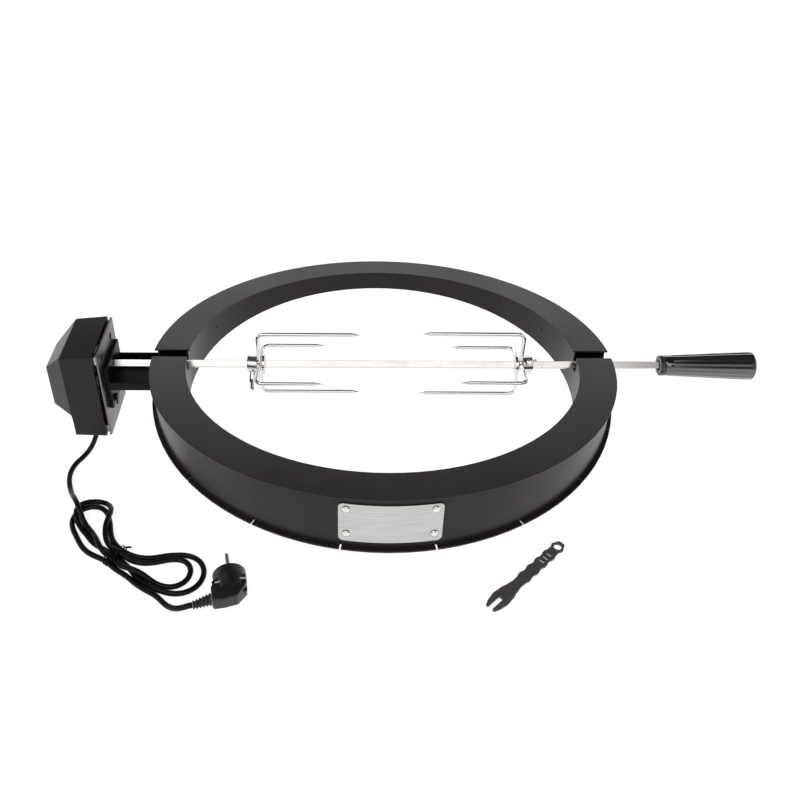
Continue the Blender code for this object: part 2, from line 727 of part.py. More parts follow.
def build_wing_screw(name, mat, wing_turn):
    """Screw pointing along its own -Y, shank towards the spit, two wings and a round boss."""
    bm = bmesh.new()
    profile = [(0.0043, 0.0022), (0.0050, 0.0029), (0.0122, 0.0029), (0.0128, 0.0036),
               (0.0205, 0.0038), (0.0220, 0.0034), (0.0226, 0.0020)]
    revolve(bm, profile, 18, lambda h, a, b: (a, -h, b))
    screw = finish_mesh(name, bm, mat, 35)
    spin = Matrix.Rotation(wing_turn, 4, 'Y')
    outline = [(0.0020, 0.0170), (0.0056, 0.0192), (0.0078, 0.0238), (0.0086, 0.0280),
               (0.0076, 0.0302), (0.0058, 0.0300), (0.0042, 0.0270), (0.0026, 0.0222)]
    bm = bmesh.new()
    for s in (-1, 1):
        ring = [(s * a, h) for a, h in outline]
        extrude(bm, ring, -0.0013, 0.0013, lambda a, h, t: spin @ Vector((a, -h, t)))
    wings = cutter(name + "_wings", bm)
    wings.parent = screw
    boolean(screw, wings, 'UNION')
    return screw


# ---------------------------------------------------------------- lead, plug and wrench
def build_gland(rubber):
    x, y = GLAND_POINT
    bm = bmesh.new()
    profile = [(MOTOR_LOW + 0.0052, 0.0066), (MOTOR_LOW + 0.0030, 0.0070),
               (MOTOR_LOW + 0.0028, 0.0050), (MOTOR_LOW - 0.0003, 0.0050),
               (MOTOR_LOW - 0.0004, 0.0066), (MOTOR_LOW - 0.0030, 0.0064),
               (MOTOR_LOW - 0.0040, 0.0054), (MOTOR_LOW - 0.0200, 0.0040)]
    revolve(bm, [(h, r) for h, r in reversed(profile)], 20, lambda h, a, b: (x + a, y + b, h))
    finish_mesh("cord_gland", bm, rubber, 35)


def lobe_centre(turn, reach):
    u = reach - HANK_WIDE
    return (TIE_POINT[0] + u * cos(turn), TIE_POINT[1] + u * sin(turn))


def at_waist(a, b):
    """A point in the tie's own frame: a along the strands there, b across them."""
    strands = (LEFT_LOBE - pi + RIGHT_LOBE) / 2
    return (TIE_POINT[0] + a * cos(strands) - b * sin(strands),
            TIE_POINT[1] + a * sin(strands) + b * cos(strands))


def hank_outline(turn, reach, side, low_b):
    """Teardrop outline of one lobe of the tied hank, from the tie's face to its round tip."""
    face = side * (TIE_HALF + GAP)
    centre = lobe_centre(turn, reach)
    near = turn - radians(105)
    tip = arc(centre, HANK_WIDE, near, near + radians(210), 20)
    if side < 0:
        tip = tip[::-1]
    return [at_waist(face, low_b)] + tip + [at_waist(face, WAIST_HALF)]


def build_cord(rubber, wire):
    centre = FLOOR + CORD_DIA / 2 + 0.0001
    gx, gy = GLAND_POINT
    end = MOTOR_LOW - 0.0200 - GAP
    cx, cy = lobe_centre(LEFT_LOBE, LEFT_REACH)
    inward = radians(128)
    last = [(cx + r * cos(inward), cy + r * sin(inward), centre)
            for r in (HANK_WIDE + 0.014, HANK_WIDE + GAP)]
    lead = [(gx, gy, end), (gx, gy, end - 0.009), (-0.3530, 0.0018, -0.0905),
            (-0.3610, -0.0055, -0.1010), (-0.3710, -0.0210, -0.1088),
            (-0.3750, -0.0440, centre), (-0.3690, -0.0660, centre)] + last
    cord_tube("cord_lead", lead, rubber)

    for name, turn, reach, side, low_b in (
            ("cord_hank_left", LEFT_LOBE, LEFT_REACH, -1, -WAIST_HALF),
            ("cord_hank_right", RIGHT_LOBE, RIGHT_REACH, 1, -0.0050)):
        bm = bmesh.new()
        extrude(bm, hank_outline(turn, reach, side, low_b), FLOOR, FLOOR + HANK_HEIGHT, plain)
        finish_mesh(name, bm, rubber)

    bm = bmesh.new()
    half = WAIST_HALF + 0.0005
    block = [at_waist(a, b) for a, b in ((-TIE_HALF, -half), (TIE_HALF, -half),
                                         (TIE_HALF, half), (-TIE_HALF, half))]
    extrude(bm, block, FLOOR, FLOOR + HANK_HEIGHT + 0.0015, plain)
    finish_mesh("cord_tie", bm, wire)


def plug_point(a, b, c):
    """Plug frame: a along the pins, b to the right of them, c up."""
    return (PLUG_FACE[0] + a * cos(PLUG_TURN) + b * sin(PLUG_TURN),
            PLUG_FACE[1] + a * sin(PLUG_TURN) - b * cos(PLUG_TURN),
            FLOOR + PLUG_RADIUS + c)


def build_plug(rubber, pin_metal):
    bm = bmesh.new()
    profile = [(0.0, 0.0160), (-0.0010, 0.0172), (-0.0022, PLUG_RADIUS - 0.0001),
               (-0.0125, PLUG_RADIUS - 0.0001), (-0.0135, 0.0172), (-0.0250, 0.0150)]
    revolve(bm, profile, 40, lambda a, b, c: plug_point(a, b, c))
    body = finish_mesh("plug_body", bm, rubber, 30)
    outline = [(-0.0120, 0.0172), (-0.0240, 0.0166), (-0.0365, 0.0060), (-0.0385, -0.0080),
               (-0.0378, -PLUG_SIDE), (-0.0215, -PLUG_SIDE), (-0.0185, -0.0168),
               (-0.0120, -0.0168)]

    def thinned(a, b, c):
        t = min(max((-a - PLUG_THIN_START) / PLUG_THIN_RUN, 0.0), 1.0)
        return plug_point(a, b, c * (1 - PLUG_THINNING * t))

    bm = bmesh.new()
    extrude(bm, outline, -0.0118, 0.0118, thinned)
    bmesh.ops.bevel(bm, geom=list(bm.edges), offset=0.0022, segments=2, affect='EDGES', profile=0.5)
    boolean(body, cutter("plug_back", bm), 'UNION')
    bm = bmesh.new()
    for s in (-1, 1):
        recess = [(-0.0300, s * 0.0153), (-0.0300, s * 0.0200), (0.0050, s * 0.0200),
                  (0.0050, s * 0.0153)]
        extrude(bm, recess, -0.0034, 0.0034, plug_point)
    boolean(body, cutter("plug_clip_recess", bm), 'DIFFERENCE')

    for tag, s in (("left", -1), ("right", 1)):
        clip = [(-0.0290, s * 0.0157), (-0.0290, s * 0.0165), (-0.0020, s * 0.0165),
                (-0.0020, s * 0.0157)]
        bm = bmesh.new()
        extrude(bm, clip, -0.0030, 0.0030, plug_point)
        finish_mesh("plug_earth_clip_" + tag, bm, pin_metal)

    for tag, s in (("lower", -1), ("upper", 1)):
        pin = [(GAP, 0.0024), (0.0165, 0.0024), (0.0182, 0.0019), (0.0190, 0.0009)]
        bm = bmesh.new()
        revolve(bm, pin, 16, lambda a, b, c, s=s: plug_point(a, b, s * 0.0095 + c))
        finish_mesh("plug_pin_" + tag, bm, pin_metal, 40)


def build_tail(rubber):
    """Ribbed strain relief at the plug and the lead from it back to the hank."""
    start = Vector(plug_point(-0.0300, -PLUG_SIDE - GAP, 0.0))
    axis = Vector((-sin(PLUG_TURN), cos(PLUG_TURN), 0.0))
    side = Vector((-axis.y, axis.x, 0.0))

    def place(h, a, b):
        t = min(max(h / RELIEF_LENGTH, 0.0), 1.0)
        drop = RELIEF_DROP * t * t * (3 - 2 * t)
        return start + axis * h + side * a + Vector((0, 0, b - drop))

    profile = [(0.0, 0.0066)]
    for k in range(5):
        t = RELIEF_LENGTH * (0.10 + 0.18 * k)
        r = 0.0064 - 0.0004 * k
        profile += [(t, r), (t + 0.0007, r - 0.0013), (t + 0.0017, r - 0.0013),
                    (t + 0.0024, r)]
    profile.append((RELIEF_LENGTH, 0.0044))
    bm = bmesh.new()
    revolve(bm, profile, 18, place)
    finish_mesh("plug_strain_relief", bm, rubber, 35)

    centre = FLOOR + CORD_DIA / 2 + 0.0001
    first = place(RELIEF_LENGTH + GAP, 0.0, 0.0)
    back = [Vector((*at_waist(a, -0.0092), centre)) for a in (0.0150, TIE_HALF + GAP)]
    tail = [first, first + axis * 0.006, Vector((-0.2130, -0.2435, -0.1075)),
            Vector((-0.2250, -0.2345, centre)), Vector((-0.2455, -0.2205, centre))] + back
    cord_tube("cord_tail", tail, rubber)


def wrench_half_width(s):
    """Half width of the wrench s metres from the prong tips."""
    knots = ((0.0012, 0.0062), (0.008, 0.0085), (0.018, 0.0100), (0.028, 0.0090),
             (0.038, 0.0068), (0.046, 0.0056), (0.052, 0.0057))
    for (s0, h0), (s1, h1) in zip(knots, knots[1:]):
        if s <= s1:
            t = (s - s0) / (s1 - s0)
            return h0 + (h1 - h0) * t * t * (3 - 2 * t)
    return 0.0065 - 0.0008 * cos(2 * pi * (s - knots[-1][0]) / SCALLOP_PITCH)


def build_wrench(steel):
    """Flat wrench: two prongs, a waist, a scalloped grip and a hanging hole."""
    ux, uy = cos(WRENCH_TURN), sin(WRENCH_TURN)

    def place(s, w, h):
        return (WRENCH_START[0] + s * ux - w * uy, WRENCH_START[1] + s * uy + w * ux, h)

    hole_back, slot_half, slot_end = 0.0075, 0.0027, 0.0185
    edge = []
    steps = 56
    for k in range(steps + 1):
        s = 0.0012 + (0.1120 - 0.0012) * k / steps
        edge.append((s, wrench_half_width(s)))
    centre = WRENCH_LENGTH - hole_back
    slot = [(slot_end, 0.0)] + arc((slot_end - 0.001, slot_half - 0.001), 0.001, 0, pi / 2, 3)
    tip = [(0.0010, slot_half), (0.0, slot_half + 0.0008), (0.0, 0.0052)]
    end = [(centre - 0.0060, 0.0056), (centre - 0.0030, 0.0072), (centre - 0.0012, 0.0076)]
    end += arc((centre + 0.0050, 0.0022), 0.0025, radians(55), 0, 3)
    upper = slot + tip + edge + end
    outline = upper + [(s, -w) for s, w in upper[-2:0:-1]]
    bm = bmesh.new()
    extrude(bm, outline, FLOOR, FLOOR + WRENCH_THICK, place)
    wrench = finish_mesh("fork_wrench", bm, steel)

    bm = bmesh.new()
    hole = arc((centre - 0.0007, 0), 0.0045, 0, 2 * pi, 20)[:-1]
    extrude(bm, hole, FLOOR - 0.002, FLOOR + 0.006, place)
    for s in (0.0900, 0.0965, 0.1030):
        window = arc((s, 0.0028), 0.0012, 0, pi, 4) + arc((s, -0.0028), 0.0012, pi, 2 * pi, 4)
        extrude(bm, window, FLOOR - 0.002, FLOOR + 0.006, place)
    boolean(wrench, cutter("wrench_holes", bm), 'DIFFERENCE')


def main():
    clear_scene()
    steel = material("powder_coat", (0.045, 0.041, 0.043), 0.55, 0.2)
    black_steel = material("black_steel", (0.015, 0.015, 0.015), 0.55, 0.3)
    stainless = material("stainless", (0.62, 0.60, 0.58), 0.28, 1.0)
    zinc = material("zinc", (0.50, 0.49, 0.48), 0.35, 1.0)
    plate_metal = material("motor_plate_metal", (0.23, 0.21, 0.20), 0.45, 0.8)
    plastic = material("housing_plastic", (0.030, 0.028, 0.030), 0.5, 0.0)
    gloss = material("handle_plastic", (0.012, 0.012, 0.012), 0.18, 0.0)
    rubber = material("cord_rubber", (0.012, 0.012, 0.012), 0.45, 0.0)
    wrench_steel = material("wrench_steel", (0.10, 0.09, 0.085), 0.5, 0.7)

    build_ring(steel)
    build_name_plate(stainless)
    build_bracket(black_steel, black_steel)
    build_motor(plastic, plate_metal, black_steel, zinc)
    build_gland(rubber)
    build_spit(stainless, zinc, gloss, black_steel)
    build_fork("left", LEFT_WIRE_X, 1, 0.0, radians(45), radians(90), stainless)
    build_fork("right", RIGHT_WIRE_X, -1, radians(-2.5), radians(-45), radians(-20), stainless)
    build_cord(rubber, black_steel)
    build_plug(rubber, zinc)
    build_tail(rubber)
    build_wrench(wrench_steel)


main()
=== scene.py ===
"""Looks of the rotisserie spit roaster: camera, light, materials, the tied mains lead and the
fine surfaces of the pieces. Metres, in the CAD frame."""

from math import cos, pi, radians, sin

import bmesh
import bpy
import numpy as np
from mathutils import Matrix, Vector


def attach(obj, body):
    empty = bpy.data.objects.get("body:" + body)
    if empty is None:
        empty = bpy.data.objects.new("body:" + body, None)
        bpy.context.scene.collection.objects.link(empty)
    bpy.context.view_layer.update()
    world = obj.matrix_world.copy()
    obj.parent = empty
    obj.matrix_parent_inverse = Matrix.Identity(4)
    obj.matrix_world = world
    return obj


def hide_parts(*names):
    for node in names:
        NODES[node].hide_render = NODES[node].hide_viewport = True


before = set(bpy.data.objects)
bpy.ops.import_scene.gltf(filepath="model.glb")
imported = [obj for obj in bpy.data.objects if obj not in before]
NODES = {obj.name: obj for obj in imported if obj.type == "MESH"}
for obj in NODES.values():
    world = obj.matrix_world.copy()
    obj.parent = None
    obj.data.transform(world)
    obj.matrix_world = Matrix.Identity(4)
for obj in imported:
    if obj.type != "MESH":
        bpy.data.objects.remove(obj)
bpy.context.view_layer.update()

# route of the lead and places shared with the CAD source
FLOOR = -0.115
CORD_DIA = 0.0062
GLAND_POINT = (-0.3498, 0.0055)
GLAND_END = -0.0745
TIE_POINT = (-0.2930, -0.1740)
TIE_TURN = radians(-37.05)
PLUG_FACE = (-0.1640, -0.2095)
PLUG_TURN = radians(102)
PLUG_RADIUS = 0.018
PLUG_SIDE = 0.0205
RELIEF_LENGTH = 0.0195
RELIEF_DROP = 0.0040
RELIEF_BACK = 0.0300             # from the plug's face back to the strain relief
RELIEF_GAP = 0.0003              # between neighbouring pieces on the lead
ROUTE_SPACING = 0.0036           # between the points that settle
LEAD_SPACING = 0.0024            # between the points of the finished lead
LEAD_SIDES = 5                   # bevel resolution
TIE_WIRE = 0.00065               # radius of the tie's wire
FLOOR_GAP = 0.0002               # the floor lies this far under the lowest piece


# ---------------------------------------------------------------- camera
def make_camera():
    yaw, pitch, roll = radians(0.619), radians(35.77), radians(0.605)
    ahead = Vector((sin(yaw) * cos(pitch), cos(yaw) * cos(pitch), -sin(pitch)))
    right = Vector((cos(yaw), -sin(yaw), 0.0))
    up = right.cross(ahead)
    right2 = right * cos(roll) + up * sin(roll)
    up2 = up * cos(roll) - right * sin(roll)
    data = bpy.data.cameras.new("camera")
    camera = bpy.data.objects.new("camera", data)
    bpy.context.scene.collection.objects.link(camera)
    rot = Matrix((right2, up2, -ahead)).transposed().to_4x4()
    camera.matrix_world = Matrix.Translation((-0.0383, -0.8346, 0.6543)) @ rot
    data.lens, data.sensor_width = 40.26, 36.0
    data.shift_x, data.shift_y = 0.0541, -0.0716
    data.clip_start, data.clip_end = 0.01, 50
    bpy.context.scene.camera = camera


# ---------------------------------------------------------------- mesh helpers
def link(obj):
    bpy.context.scene.collection.objects.link(obj)
    return obj


def mesh_from(name, bm, mat, body, smooth=40):
    bmesh.ops.remove_doubles(bm, verts=bm.verts, dist=1e-7)
    bmesh.ops.recalc_face_normals(bm, faces=bm.faces)
    mesh = bpy.data.meshes.new(name)
    bm.to_mesh(mesh)
    bm.free()
    mesh.shade_smooth()
    mesh.set_sharp_from_angle(angle=radians(smooth))
    obj = link(bpy.data.objects.new(name, mesh))
    mesh.materials.append(mat)
    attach(obj, body)
    return obj


def add_loops(bm, loops):
    """Skins a row of closed profiles and caps both ends."""
    rows = [[bm.verts.new(p) for p in loop] for loop in loops]
    count = len(rows[0])
    for low, high in zip(rows, rows[1:]):
        for j in range(count):
            k = (j + 1) % count
            bm.faces.new((low[j], low[k], high[k], high[j]))
    bm.faces.new(list(reversed(rows[0])))
    bm.faces.new(rows[-1])


# ---------------------------------------------------------------- materials
def shader(name, colour, roughness, metallic=0.0, **sockets):
    mat = bpy.data.materials.new(name)
    mat.use_nodes = True
    bsdf = mat.node_tree.nodes["Principled BSDF"]
    bsdf.inputs["Base Color"].default_value = (*colour, 1)
    bsdf.inputs["Roughness"].default_value = roughness
    bsdf.inputs["Metallic"].default_value = metallic
    for key, value in sockets.items():
        bsdf.inputs[key.replace("_", " ")].default_value = value
    return mat, mat.node_tree, bsdf


def coords(tree, scale=(1, 1, 1)):
    co = tree.nodes.new("ShaderNodeTexCoord")
    mapping = tree.nodes.new("ShaderNodeMapping")
    mapping.inputs["Scale"].default_value = scale
    tree.links.new(co.outputs["Object"], mapping.inputs["Vector"])
    return mapping.outputs["Vector"]


def noise(tree, vector, scale, detail=3.0, rough=0.5):
    node = tree.nodes.new("ShaderNodeTexNoise")
    node.inputs["Scale"].default_value = scale
    node.inputs["Detail"].default_value = detail
    node.inputs["Roughness"].default_value = rough
    tree.links.new(vector, node.inputs["Vector"])
    return node.outputs["Fac"]


def ramp(tree, fac, stops):
    node = tree.nodes.new("ShaderNodeValToRGB")
    node.color_ramp.elements[0].position = stops[0][0]
    node.color_ramp.elements[0].color = (*stops[0][1], 1)
    node.color_ramp.elements[1].position = stops[-1][0]
    node.color_ramp.elements[1].color = (*stops[-1][1], 1)
    for pos, col in stops[1:-1]:
        element = node.color_ramp.elements.new(pos)
        element.color = (*col, 1)
    tree.links.new(fac, node.inputs["Fac"])
    return node.outputs["Color"]


def spread(tree, fac, low, high):
    node = tree.nodes.new("ShaderNodeMapRange")
    node.inputs["From Min"].default_value = 0.25
    node.inputs["From Max"].default_value = 0.75
    node.inputs["To Min"].default_value = low
    node.inputs["To Max"].default_value = high
    tree.links.new(fac, node.inputs["Value"])
    return node.outputs["Result"]


def bump(tree, bsdf, height, distance, strength):
    node = tree.nodes.new("ShaderNodeBump")
    node.inputs["Strength"].default_value = strength
    node.inputs["Distance"].default_value = distance
    tree.links.new(height, node.inputs["Height"])
    tree.links.new(node.outputs["Normal"], bsdf.inputs["Normal"])


def scaled(colour, factor):
    return tuple(c * factor for c in colour)


def coated(name, colour, roughness, grain, depth, metallic=0.0, **sockets):
    """Powder coat or moulded plastic: fine grain, slight unevenness of tone and gloss."""
    mat, tree, bsdf = shader(name, colour, roughness, metallic, **sockets)
    vector = coords(tree)
    fine = noise(tree, vector, grain, 4.0, 0.6)
    wide = noise(tree, vector, 14, 2.0)
    tone = ramp(tree, wide, ((0.3, scaled(colour, 0.93)), (0.7, scaled(colour, 1.08))))
    tree.links.new(tone, bsdf.inputs["Base Color"])
    tree.links.new(spread(tree, wide, roughness - 0.04, roughness + 0.04),
                   bsdf.inputs["Roughness"])
    bump(tree, bsdf, fine, depth, 0.6)
    return mat


def brushed(name, colour, roughness, along=(1, 1, 1), depth=0.00002, metallic=1.0):
    """Drawn or brushed metal: fine streaks along one axis, with slightly uneven gloss."""
    mat, tree, bsdf = shader(name, colour, roughness, metallic)
    vector = coords(tree, scale=along)
    streak = noise(tree, vector, 900, 3.0, 0.7)
    wide = noise(tree, coords(tree), 35, 3.0)
    tone = ramp(tree, streak, ((0.35, scaled(colour, 0.88)), (0.65, scaled(colour, 1.05))))
    tree.links.new(tone, bsdf.inputs["Base Color"])
    tree.links.new(spread(tree, wide, roughness * 0.8, roughness * 1.25),
                   bsdf.inputs["Roughness"])
    bump(tree, bsdf, streak, depth, 0.5)
    return mat


def make_materials():
    m = {}
    m["coat"] = coated("ring_powder_coat", (0.0195, 0.0135, 0.0172), 0.32, 1400, 0.00006,
                       Specular_IOR_Level=0.17)
    m["black"] = coated("black_steel", (0.0035, 0.0033, 0.0034), 0.42, 1500, 0.00004,
                        Specular_IOR_Level=0.14)
    # inside of the ring's box section: the ring's powder coat coloured much darker, painted shade
    m["inside"] = coated("ring_inside", (0.0040, 0.0037, 0.0040), 0.6, 1200, 0.00005,
                         Specular_IOR_Level=0.25)
    m["plastic"] = coated("housing_plastic", (0.0080, 0.0062, 0.0072), 0.32, 2200, 0.00003,
                          Specular_IOR_Level=0.24)
    m["plate"] = brushed("motor_plate_metal", (0.20, 0.175, 0.168), 0.40, (1, 1, 0.06))
    m["gloss"] = coated("handle_plastic", (0.0060, 0.0052, 0.0056), 0.14, 500, 0.00001,
                        Specular_IOR_Level=1.0, Coat_Weight=0.7, Coat_Roughness=0.08,
                        Coat_IOR=1.8)
    m["cord"] = coated("cord_sheath", (0.0040, 0.0036, 0.0038), 0.34, 1800, 0.00003,
                       Specular_IOR_Level=0.16)
    m["plug"] = coated("plug_rubber", (0.0145, 0.0120, 0.0130), 0.34, 1600, 0.00004,
                       Specular_IOR_Level=0.45)
    m["rod"] = brushed("spit_steel", (0.66, 0.64, 0.625), 0.24, (0.03, 1, 1), 0.00001)
    m["fork"] = brushed("fork_steel", (0.84, 0.82, 0.81), 0.14, (1, 1, 1), 0.000004)
    m["hub"] = brushed("hub_steel", (0.76, 0.74, 0.73), 0.16, (1, 0.05, 0.05), 0.000008)
    m["zinc"] = brushed("zinc_steel", (0.52, 0.51, 0.50), 0.28, (1, 1, 1), 0.00001)
    m["hook"] = brushed("clip_hook_steel", (0.74, 0.73, 0.72), 0.30, (1, 1, 1), 0.00001, 0.3)
    m["badge"] = brushed("name_plate_steel", (0.55, 0.52, 0.505), 0.27, (0.04, 0.04, 1))
    m["tool"] = coated("wrench_steel", (0.125, 0.102, 0.104), 0.42, 900, 0.00005, metallic=0.3)
    m["dark"] = coated("collar_steel", (0.045, 0.037, 0.036), 0.22, 1200, 0.00002)
    return m


# ---------------------------------------------------------------- CAD nodes that stay
def keep(names, mat, bevel=0.0004, angle=30, segments=2):
    """Gives CAD nodes a material, softened edges and smooth round faces."""
    for name in names:
        obj = NODES[name]
        mesh = obj.data
        if mesh.materials:
            for s in obj.material_slots:
                s.material = mat
        else:
            mesh.materials.append(mat)
        mesh.polygons.foreach_set("use_smooth", [True] * len(mesh.polygons))
        weld = obj.modifiers.new("Weld", 'WELD')
        weld.merge_threshold = 0.000005
        if bevel:
            mod = obj.modifiers.new("Bevel", 'BEVEL')
            mod.width = bevel
            mod.segments = segments
            mod.limit_method = 'ANGLE'
            mod.angle_limit = radians(angle)
            mod.harden_normals = True
            mod.use_clamp_overlap = True
        normal = obj.modifiers.new("Normals", 'WEIGHTED_NORMAL')
        normal.keep_sharp = False


# ---------------------------------------------------------------- mains lead
# place across the bundle and height over the floor of each strand under the tie
STRANDS = ((0.0096, 0.0032), (0.0044, 0.0066), (-0.0008, 0.0032), (-0.0060, 0.0066),
           (-0.0112, 0.0032))
# centre, radius, axis and half angle in degrees of the folds' round ends, in the order
# the lead runs through them
LOBES = (((-0.2275, -0.1965), 0.0196, -18.6, 96), ((-0.3310, -0.1120), 0.0198, 122, 92),
         ((-0.2195, -0.1985), 0.0262, -18.6, 100), ((-0.3335, -0.1205), 0.0205, 125, 96))
# how the lead settles; shares are taken once in each round
SETTLE_ROUNDS = 1600
TIGHT_BEND = 0.0230          # radius under which the rubber stiffens
STIFF_SHARE = 0.11           # share of a bend taken out
EASY_SHARE = 0.12            # least part of STIFF_SHARE, in an easy bend
FIRM_HOLD = 0.01             # how firmly the round ends of the folds keep their shape
FIRM_REACH = 0.0004          # points this near a fold's circle are held
HOME_PULL = 0.003            # pull back to the route at the start
HOME_FADE = 1.6              # how fast that pull fades
SINK = 0.000004
EVEN_SHARE = 0.2             # evens out the spacing of the points
PART_SHARE = 0.35            # share of an overlap pushed apart
KEEP_OFF = 1.006             # diameters between strands
OWN_REACH = 2.2              # diameters along the lead within which it may touch itself
FLOOR_CLEAR = 0.0001


def waist(a, b, height):
    """A point in the tie's frame: a along the strands, b across them, height over the floor."""
    return (TIE_POINT[0] + a * cos(TIE_TURN) - b * sin(TIE_TURN),
            TIE_POINT[1] + a * sin(TIE_TURN) + b * cos(TIE_TURN), FLOOR + height)


def lobe(which, z_start, z_mid, z_end, steps=12):
    """Points round the end of a fold, from one side to the other."""
    centre, radius, axis, half = LOBES[which]
    start, end = radians(axis) - radians(half), radians(axis) + radians(half)
    out = []
    for k in range(steps + 1):
        t = k / steps
        a = start + (end - start) * t
        z = z_start * (1 - t) ** 2 + z_mid * 2 * t * (1 - t) + z_end * t * t
        out.append((centre[0] + radius * cos(a), centre[1] + radius * sin(a), FLOOR + z))
    return out


def catmull(points, per=8):
    pts = [Vector(p) for p in points]
    pts = [2 * pts[0] - pts[1]] + pts + [2 * pts[-1] - pts[-2]]
    fine = []
    for i in range(1, len(pts) - 2):
        p0, p1, p2, p3 = pts[i - 1:i + 3]
        for k in range(per):
            t = k / per
            fine.append(0.5 * (2 * p1 + (p2 - p0) * t + (2 * p0 - 5 * p1 + 4 * p2 - p3) * t * t
                               + (3 * p1 - 3 * p2 + p3 - p0) * t ** 3))
    fine.append(pts[-2])
    return np.array(fine)


def respaced(line, spacing):
    step = np.linalg.norm(np.diff(line, axis=0), axis=1)
    run = np.concatenate([[0], np.cumsum(step)])
    count = max(2, int(round(run[-1] / spacing)))
    at = np.linspace(0, run[-1], count + 1)
    return np.stack([np.interp(at, run, line[:, k]) for k in range(3)], axis=1)


def through(strand, direction):
    """Straight through the tie along one strand's place; direction +1 goes to the right."""
    b, z = STRANDS[strand]
    reach = (-0.013, -0.006, 0.0, 0.006, 0.013)
    return [waist(a * direction, b, z) for a in reach]


def lead_route():
    low, mid, top = 0.0032, 0.0094, 0.0156
    gx, gy = GLAND_POINT
    route = [(gx, gy, GLAND_END), (gx, gy, GLAND_END - 0.005), (gx - 0.0004, gy - 0.0003, -0.0840),
             (-0.3525, 0.0026, -0.0925), (-0.3575, -0.0030, -0.1005),
             (-0.3640, -0.0110, -0.1065), (-0.3700, -0.0210, -0.1100),
             (-0.3742, -0.0340, -0.1116), (-0.3752, -0.0480, -0.1112),
             (-0.3722, -0.0620, -0.1085), (-0.3665, -0.0760, -0.1045),
             (-0.3600, -0.0890, FLOOR + top), (-0.3530, -0.1020, FLOOR + top),
             (-0.3450, -0.1160, FLOOR + top - 0.0010), (-0.3365, -0.1300, FLOOR + 0.0120),
             (-0.3265, -0.1445, FLOOR + 0.0090), (-0.3160, -0.1575, FLOOR + 0.0075)]
    route += through(3, 1)
    # inner loop on the right, back along the second strand
    route += [waist(0.026, -0.0060, 0.0094), waist(0.040, -0.0030, 0.0086)]
    route += lobe(0, 0.0060, low, 0.0034)
    route += [waist(0.030, 0.0100, 0.0050)]
    route += through(1, -1)
    # fold on the left, back along the third strand
    route += [waist(-0.028, 0.0090, 0.0080)]
    route += lobe(1, mid, mid, mid)
    route += [waist(-0.032, -0.0020, 0.0066)]
    route += through(2, 1)
    # outer loop on the right, back along the first strand
    route += [waist(0.026, -0.0040, low), waist(0.044, -0.0080, low)]
    route += lobe(2, low, low, low, 14)
    route += [waist(0.030, 0.0195, low)]
    route += through(0, -1)
    # wide loop on the left, back along the fifth strand
    route += [waist(-0.028, 0.0160, low)]
    route += lobe(3, low, low, low)
    route += [waist(-0.032, -0.0160, low)]
    route += through(4, 1)
    # tail to the plug's strain relief
    start, axis = relief_frame()
    stop = start + axis * (RELIEF_LENGTH + RELIEF_GAP) - Vector((0, 0, RELIEF_DROP))
    route += [(-0.2660, -0.2060, FLOOR + low), (-0.2480, -0.2195, FLOOR + low),
              (-0.2350, -0.2300, FLOOR + 0.0038), (-0.2240, -0.2400, FLOOR + 0.0062),
              (-0.2145, -0.2465, FLOOR + 0.0096),
              tuple(stop + axis * 0.0085 - Vector((0, 0, 0.0008))), tuple(stop + axis * 0.003),
              tuple(stop)]
    return route


def relief_frame():
    ux, uy = cos(PLUG_TURN), sin(PLUG_TURN)
    start = Vector((PLUG_FACE[0] - RELIEF_BACK * ux - (PLUG_SIDE + RELIEF_GAP) * uy,
                    PLUG_FACE[1] - RELIEF_BACK * uy + (PLUG_SIDE + RELIEF_GAP) * ux,
                    FLOOR + PLUG_RADIUS))
    return start, Vector((-uy, ux, 0.0))


